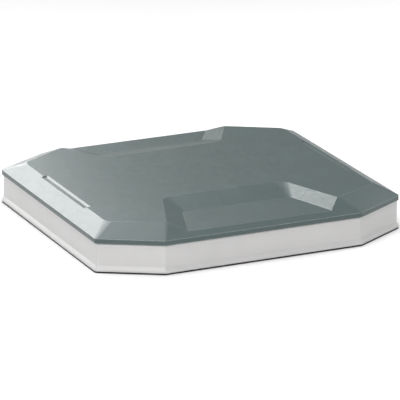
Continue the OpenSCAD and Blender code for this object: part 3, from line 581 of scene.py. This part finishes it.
@dataclass
class Lid:
    """The moulded lid: rim, four bevels, corner bevels, plateau, recesses and notches."""

    plan: Plan
    bottom: float
    top: float
    rim_h: float = 11 * MM
    bevel_x: float = 44 * MM
    bevel_front: float = 63.5 * MM
    bevel_back: float = 45 * MM
    plateau_cut: float = 123 * MM
    plateau_side: float = 480 * MM
    hip_r: float = 26 * MM
    recess_depth: float = 15 * MM
    notch_l: float = 254 * MM
    notch_w: float = 10.5 * MM
    notch_depth: float = 2.7 * MM
    notch_lean: float = 0.4
    shell_t: float = 4 * MM
    skirt_t: float = 5 * MM
    edge_w: float = 16 * MM
    edge_step: float = 2 * MM
    pocket_h: float = 5 * MM
    edge_r: float = 1.8 * MM
    notch_r: float = 0.5 * MM
    notch_steps: int = 3
    past: float = 1 * MM
    recesses: list[Recess] = field(default_factory=list)

    def __post_init__(self) -> None:
        """Works out the levels and the two recesses."""
        self.rim_top = self.bottom + self.rim_h
        self.crown = self.top - self.rim_top
        self.floor = self.top - self.recess_depth
        self.recesses = [
            Recess(side=-1, bevel=self.bevel_front, reach=226 * MM),
            Recess(side=1, bevel=self.bevel_back, reach=157.5 * MM),
        ]

    def plateau(self, inset: float) -> list[Corner]:
        """The plateau's corners, in the same order as the plan's."""
        x = self.plan.half_l - self.bevel_x - inset
        end = self.plan.half_l - self.bevel_x - self.plateau_cut - inset / 2
        side = self.plateau_side / 2 - inset / 2
        back = self.plan.half_w - self.bevel_back - inset
        front = self.plan.half_w - self.bevel_front - inset
        return [
            (x, -side), (x, side), (end, back), (-end, back),
            (-x, side), (-x, -side), (-end, -front), (end, -front),
        ]

    def body(self) -> bpy.types.Object:
        """The solid outer form, before anything is cut out of it."""
        radii = [self.hip_r] * len(self.plateau(0.0))
        crown = outline(self.plateau(0.0), self.top, radii, self.plan.steps)
        rings = [self.plan.ring(0.0, self.bottom), self.plan.ring(0.0, self.rim_top), crown]
        return bridge(rings, "lid_shell_moulding", Ends.CAPPED)

    def recess_tool(self, recess: Recess, grow: float = 0.0) -> bpy.types.Object:
        """The shape that a recess is cut with.

        Args:
            recess: The recess.
            grow: How much bigger than the recess the tool is.
        """
        over = 1 + (grow + self.past) / self.recess_depth
        rings = []
        for share in (0.0, over):
            run_out = recess.bevel * (self.crown - self.recess_depth) / self.crown
            inner = Vector((
                recess.in_floor + (recess.in_top - recess.in_floor) * share,
                self.plan.half_w - recess.reach + recess.ramp * (1 - share),
            ))
            mouth = self.plan.half_l - self.bevel_x - self.plateau_cut
            outer = Vector((
                recess.out_floor + (mouth - recess.out_floor) * share,
                self.plan.half_w - run_out + (run_out - recess.bevel) * share,
            ))
            clear = self.plan.half_w + recess.mouth_r + self.past + grow
            far = outer + (outer - inner) * (clear - outer.y) / (outer.y - inner.y)
            corners = [(far.x + grow, far.y), (-far.x - grow, far.y),
                       (-inner.x - grow, inner.y - grow), (inner.x + grow, inner.y - grow)]
            if recess.side < 0:
                corners = [(x, -y) for x, y in reversed(corners)]
            radius = recess.floor_r + (recess.mouth_r - recess.floor_r) * share
            z = self.floor - grow + self.recess_depth * share
            rings.append(outline(corners, z, [radius] * len(corners), 2 * self.plan.steps))
        return bridge(rings, "recess_tool", Ends.CAPPED)

    def notch_tool(self, side: int) -> bpy.types.Object:
        """The shape of the shallow step along a short side of the plateau."""
        edge = self.plan.half_l - self.bevel_x
        run = self.notch_depth * self.bevel_x / self.crown
        low, high = self.top - self.notch_depth, self.top + self.past
        reach = self.notch_l / 2
        rings = []
        foot = edge - self.notch_w + run
        head = edge - self.notch_w - run * self.notch_lean
        for z, inner in ((low, foot), (high, head)):
            xs = (side * inner, side * (edge + 2 * run))
            corners = [(min(xs), -reach), (max(xs), -reach), (max(xs), reach), (min(xs), reach)]
            rings.append(outline(corners, z, [self.past] * len(corners), self.notch_steps))
        return bridge(rings, "notch_tool", Ends.CAPPED)

    def hollow_tool(self) -> bpy.types.Object:
        """The hollow that holds the core, with the recesses' undersides left standing in it."""
        inner, sharp = self.edge_w, [self.plan.least_r] * len(self.plateau(0.0))
        pocket, step = self.bottom + self.pocket_h, self.rim_top - self.edge_step
        rings = [
            outline(self.plan.corners(inner), pocket - self.past, sharp, self.plan.steps),
            outline(self.plan.corners(inner), step, sharp, self.plan.steps),
            outline(self.plateau(self.shell_t), self.top - self.shell_t, sharp, self.plan.steps),
        ]
        tool = bridge(rings, "hollow_tool", Ends.CAPPED)
        for recess in self.recesses:
            cut(tool, self.recess_tool(recess, self.shell_t))
        return tool

    def build(self, shop: PaintShop) -> None:
        """Models the shell and puts it on the lid."""
        shell = self.body()
        for recess in self.recesses:
            cut(shell, self.recess_tool(recess))
        levels = (self.bottom - self.past, self.bottom + self.pocket_h)
        pocket = [self.plan.ring(self.skirt_t, z) for z in levels]
        cut(shell, bridge(pocket, "pocket_tool", Ends.CAPPED))
        round_edges(shell, self.edge_r, 8.5, 5)
        for side in (-1, 1):
            cut(shell, self.notch_tool(side))
        round_edges(shell, self.notch_r, 20.0, 2)
        cut(shell, self.hollow_tool())
        shop.finish_piece(shell, "lid_moulding", "lid", ("lid_shell",))


# ---- Curb ----


@dataclass
class Curb:
    """The coated curb: foot, wall, shoulder, upstand lip, sealing ledge and base flange."""

    plan: Plan
    wall: float = 3.5 * MM
    wall_in: float = 9 * MM
    foot: float = -1.5 * MM
    foot_low: float = 4 * MM
    foot_edge: float = 8.5 * MM
    foot_top: float = 17 * MM
    shoulder: float = 67.5 * MM
    lip_out: float = 8.5 * MM
    lip_in: float = 12.5 * MM
    lip_top: float = 69 * MM
    ledge_in: float = 33 * MM
    ledge_top: float = 64 * MM
    ledge_low: float = 60 * MM
    flange_in: float = 49 * MM
    flange_top: float = 9 * MM
    edge_r: float = 0.9 * MM
    anchor_r: float = 5.5 * MM
    anchor_in: float = 30 * MM
    anchor_steps: int = 40
    drill_l: float = 20 * MM
    anchor_ends: Corner = (64 * MM, 41 * MM)

    def anchors(self) -> list[Corner]:
        """The centres of the anchor holes."""
        x = self.plan.half_l - self.plan.cut_x - self.anchor_ends[0]
        y = self.plan.half_w - self.plan.cut_y - self.anchor_ends[1]
        far_x, far_y = self.plan.half_l - self.anchor_in, self.plan.half_w - self.anchor_in
        quarters = [(sx, sy) for sx in (-1, 1) for sy in (-1, 1)]
        long_side = [(sx * x, sy * far_y) for sx, sy in quarters]
        short_side = [(sx * far_x, sy * y) for sx, sy in quarters]
        return long_side + short_side

    def build(self, shop: PaintShop) -> None:
        """Models the curb frame and puts it on the curb."""
        curb = self.plan.band("curb_frame_coated", [
            (self.foot, self.foot_low), (self.foot, self.foot_edge), (self.wall, self.foot_top),
            (self.wall, self.shoulder), (self.lip_out, self.shoulder), (self.lip_out, self.lip_top),
            (self.lip_in, self.lip_top), (self.lip_in, self.ledge_top),
            (self.ledge_in, self.ledge_top),
            (self.ledge_in, self.ledge_low), (self.wall_in, self.ledge_low),
            (self.wall_in, self.flange_top), (self.flange_in, self.flange_top),
            (self.flange_in, self.foot_low),
        ])
        for x, y in self.anchors():
            deselect_all()
            bpy.ops.mesh.primitive_cylinder_add(
                vertices=self.anchor_steps, radius=self.anchor_r, depth=self.drill_l,
                location=(x, y, self.flange_top),
            )
            cut(curb, bpy.context.object)
        round_edges(curb, self.edge_r, 25)
        shop.finish_piece(curb, "curb_paint", "curb", ("curb_frame",))


@dataclass
class BulbSeal:
    """The bulb seal on the ledge, with a flat foot and a round crown."""

    plan: Plan
    inset: float = 15 * MM
    width: float = 8 * MM
    foot_h: float = 2 * MM
    arc_steps: int = 8

    def build(self, shop: PaintShop) -> None:
        """Models the seal in the space of its CAD part."""
        low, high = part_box("frame_seal")
        middle = self.inset + self.width / 2
        lift = high.z - low.z - self.foot_h
        arc = [
            (middle - self.width / 2 * math.cos(math.pi * k / self.arc_steps),
             low.z + self.foot_h + lift * math.sin(math.pi * k / self.arc_steps))
            for k in range(self.arc_steps + 1)
        ]
        profile = [(self.inset, low.z), *arc, (self.inset + self.width, low.z)]
        seal = self.plan.band("frame_seal_bulb", profile)
        round_edges(seal, 0.2 * MM, 40, 2)
        shop.finish_piece(seal, "black_rubber", "curb", ("frame_seal",))


# ---- Studio ----


@dataclass
class Studio:
    """The floor, the soft lights and the camera."""

    azimuth: float = -24.54
    elevation: float = 17.76
    distance: float = 8.825
    aim: tuple[float, float, float] = (0.0, 0.0, 0.080)
    lens: float = 341.9
    shift: tuple[float, float] = (0.0045, -0.0446)
    floor_gap: float = 0.1 * MM
    floor_size: float = 40.0

    def camera(self) -> None:
        """Sets the camera up at the front left, looking slightly down."""
        turn, rise = math.radians(self.azimuth), math.radians(self.elevation)
        back = Vector((
            math.sin(turn) * math.cos(rise), -math.cos(turn) * math.cos(rise), math.sin(rise)
        ))
        data = bpy.data.cameras.new("camera")
        data.lens = self.lens
        data.sensor_width = 36.0
        data.shift_x, data.shift_y = self.shift
        data.clip_end = 100.0
        camera = bpy.data.objects.new("camera", data)
        camera.location = Vector(self.aim) + back * self.distance
        camera.rotation_mode = "QUATERNION"
        camera.rotation_quaternion = (-back).to_track_quat("-Z", "Y")
        bpy.context.scene.collection.objects.link(camera)
        bpy.context.scene.camera = camera

    def floor(self) -> None:
        """Lays a plain pale floor under the gasket."""
        deselect_all()
        level = CAD_BOX[0].z - self.floor_gap
        bpy.ops.mesh.primitive_plane_add(size=self.floor_size, location=(0.0, 0.0, level))
        floor = bpy.context.object
        floor.name = "floor"
        material = bpy.data.materials.new("floor")
        material.use_nodes = True
        shader = material.node_tree.nodes["Principled BSDF"]
        shader.inputs["Base Color"].default_value = (0.93, 0.93, 0.93, 1.0)
        shader.inputs["Roughness"].default_value = 0.9
        floor.data.materials.append(material)

    def softbox(
        self, name: str, place: tuple[float, float, float], size: Corner, watts: float,
        lights_matt: bool = True, mirrored: bool = True,
    ) -> None:
        """A rectangular light that faces the object.

        Args:
            name: The light's name.
            place: Where its middle is.
            size: Its width and height.
            watts: Its power.
            lights_matt: Whether it lights the matt share of a surface.
            mirrored: Whether gloss mirrors it.
        """
        data = bpy.data.lights.new(name, "AREA")
        data.shape = "RECTANGLE"
        data.size, data.size_y = size
        data.energy = watts
        light = bpy.data.objects.new(name, data)
        light.location = place
        light.rotation_mode = "QUATERNION"
        light.rotation_quaternion = (Vector(self.aim) - Vector(place)).to_track_quat("-Z", "Y")
        light.visible_camera = False
        light.visible_diffuse = lights_matt
        light.visible_glossy = mirrored
        bpy.context.scene.collection.objects.link(light)

    def lights(self) -> None:
        """A dim sky, a key at the front left, a soft top and softboxes behind and at the right."""
        world = bpy.data.worlds.new("sky")
        world.use_nodes = True
        sky = world.node_tree.nodes["Background"]
        sky.inputs["Color"].default_value = (1.0, 1.0, 1.0, 1.0)
        sky.inputs["Strength"].default_value = 0.30
        bpy.context.scene.world = world
        self.softbox("back", (-0.55, 2.1, 1.5), (2.4, 2.8), 130.0, lights_matt=False)
        self.softbox("top", (-0.3, 0.2, 3.5), (3.0, 3.0), 98.0, mirrored=False)
        self.softbox("right", (2.6, 0.6, 1.5), (1.6, 1.6), 22.0)
        self.softbox("front_key", (-2.3, -2.7, 2.8), (3.0, 2.2), 82.0)

    def build(self) -> None:
        """Sets up the whole studio."""
        self.camera()
        self.floor()
        self.lights()
        bpy.context.scene.view_settings.view_transform = "Standard"


def main() -> None:
    """Builds the studio, the finishes and the remodelled pieces."""
    Studio().build()
    shop = PaintShop()
    shop.dress_parts()
    low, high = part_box("lid_shell")
    plan = Plan(half_l=high.x, half_w=high.y)
    Lid(plan=plan, bottom=low.z, top=high.z).build(shop)
    Curb(plan=plan).build(shop)
    BulbSeal(plan=plan).build(shop)


if __name__ == "__main__":
    main()
